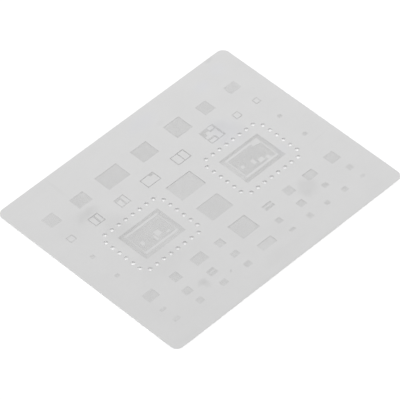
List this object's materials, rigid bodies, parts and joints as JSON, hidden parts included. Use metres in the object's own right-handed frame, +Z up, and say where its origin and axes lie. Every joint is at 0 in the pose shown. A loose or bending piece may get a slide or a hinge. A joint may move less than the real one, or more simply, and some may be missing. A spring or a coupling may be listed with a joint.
{
  "type": "solder paste stencil",
  "caption": "Thin flat steel sheet with rounded corners, cut with fields of fine apertures that pass solder paste onto the pads of chips laid under it.",
  "frame": {"origin": "centre of the sheet, on its underside", "axes": "+X along the sheet's long side, +Y along its short side, +Z up out of the face that the paste is spread on"},
  "size_m": [0.1, 0.08, 0.0001],
  "materials": {
    "steel_foil": "satin rolled stainless steel foil"
  },
  "bodies": {
    "root": {"stencil_sheet": "steel_foil"}
  },
  "joints": []
}
